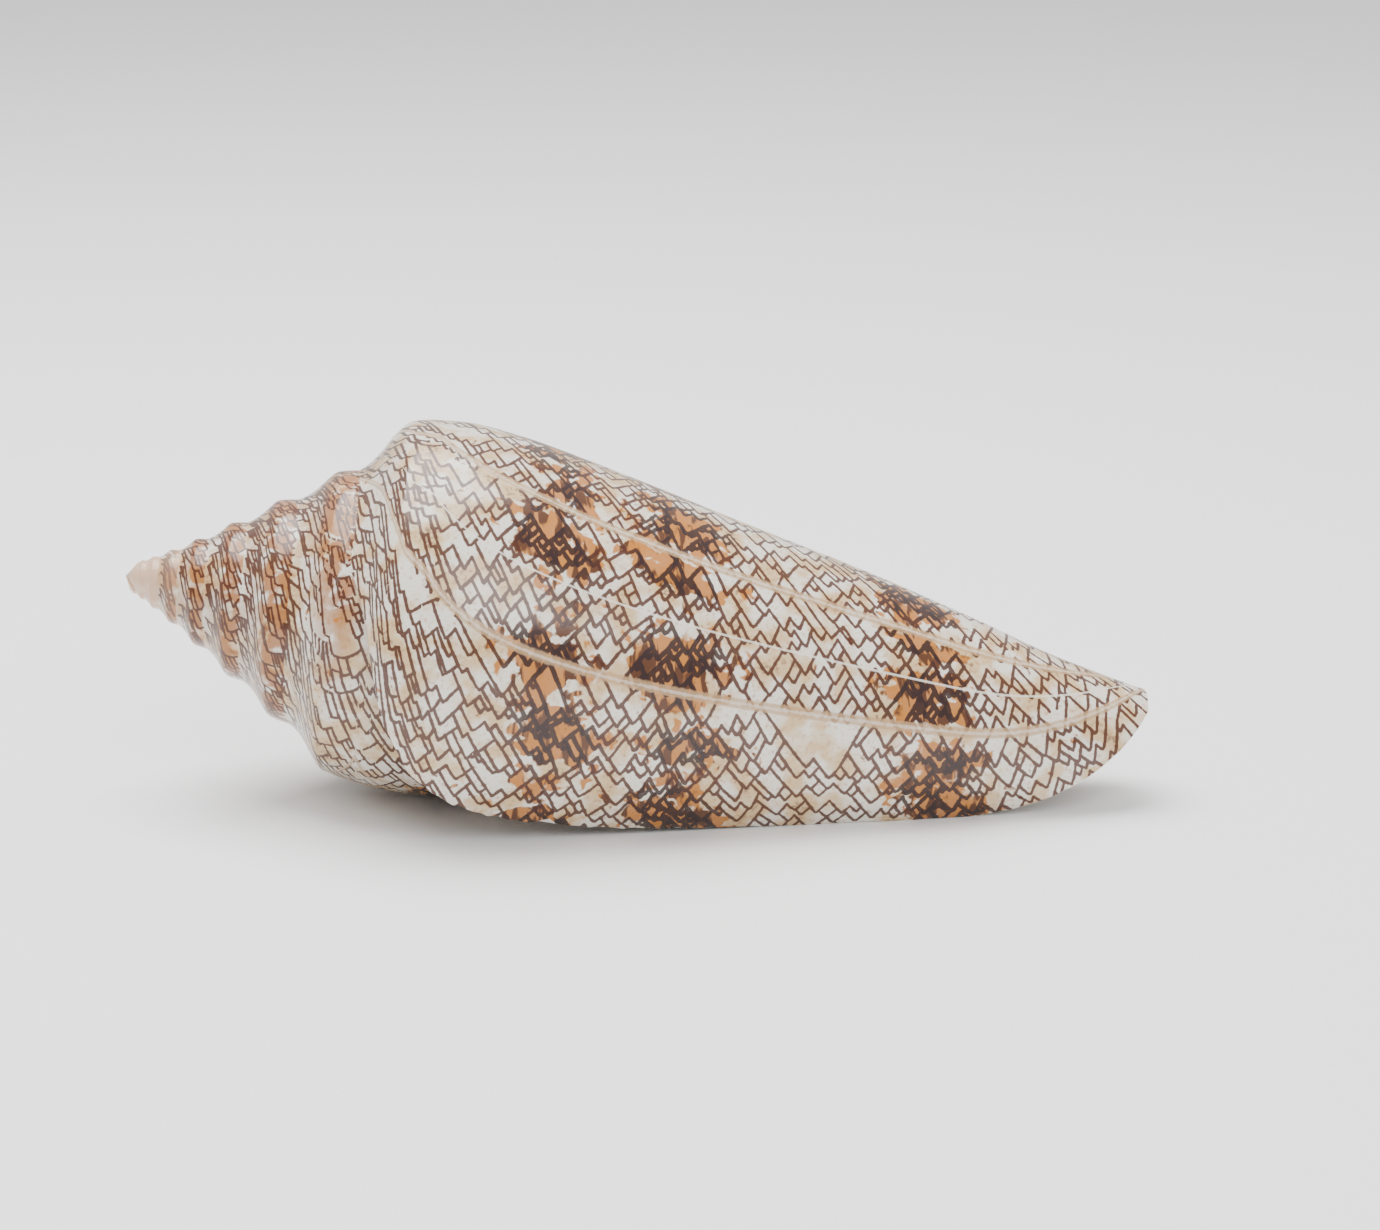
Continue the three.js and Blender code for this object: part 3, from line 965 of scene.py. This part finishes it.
def add_floor():
    """Plain pale floor."""
    half = FLOOR_SIZE / 2
    corners = [(-half, -half, 0), (half, -half, 0), (half, half, 0), (-half, half, 0)]
    mesh = bpy.data.meshes.new("floor_surface")
    mesh.from_pydata(corners, [], [(0, 1, 2, 3)])
    floor = bpy.data.objects.new("floor", mesh)
    bpy.context.collection.objects.link(floor)
    material = bpy.data.materials.new("floor_pale")
    material.use_nodes = True
    shader = material.node_tree.nodes["Principled BSDF"]
    shader.inputs["Base Color"].default_value = (*FLOOR_GREY, 1)
    shader.inputs["Roughness"].default_value = 0.6
    mesh.materials.append(material)


def add_light(name, place, target, size, power):
    data = bpy.data.lights.new(name, "AREA")
    data.size = size
    data.energy = power
    light = bpy.data.objects.new(name, data)
    light.location = place
    light.rotation_euler = (Vector(target) - Vector(place)).to_track_quat("-Z", "Y").to_euler()
    bpy.context.collection.objects.link(light)


def add_studio():
    """Soft light from above and behind, with a wide fill."""
    world = bpy.data.worlds.new("studio")
    bpy.context.scene.world = world
    world.use_nodes = True
    background = world.node_tree.nodes["Background"]
    background.inputs["Color"].default_value = (1, 1, 1, 1)
    background.inputs["Strength"].default_value = 0.9
    add_light("top_softbox", TOP_LIGHT, LIGHT_TARGET, TOP_LIGHT_SIZE, 6.5)
    add_light("front_softbox", FRONT_LIGHT, LIGHT_TARGET, FRONT_LIGHT_SIZE, 2.4)


def add_camera():
    """Camera at the photograph's angle: the shell fills the frame as it does there."""
    low, high = np.array(cad_low), np.array(cad_high)
    middle = (low + high) / 2
    right_of_middle = FRAME_RIGHT_OF_SHELL * PIXEL_MM * MM
    above_middle = -FRAME_BELOW_SHELL * PIXEL_MM * MM
    elevation = math.radians(VIEW_ELEVATION)
    target = Vector((middle[0] + right_of_middle, middle[1], middle[2] + above_middle))
    away = Vector((0, -math.cos(elevation), math.sin(elevation)))
    data = bpy.data.cameras.new("photo_camera")
    data.sensor_width = SENSOR
    data.lens = SENSOR * VIEW_DISTANCE / (IMAGE_WIDTH * PIXEL_MM * MM)
    camera = bpy.data.objects.new("photo_camera", data)
    camera.location = target + away * VIEW_DISTANCE
    camera.rotation_euler = (-away).to_track_quat("-Z", "Y").to_euler()
    bpy.context.collection.objects.link(camera)
    bpy.context.scene.camera = camera


shell = shell_object()
shell.data.materials.append(shell_material())
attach(shell, "root")
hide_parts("shell")
add_floor()
add_studio()
add_camera()
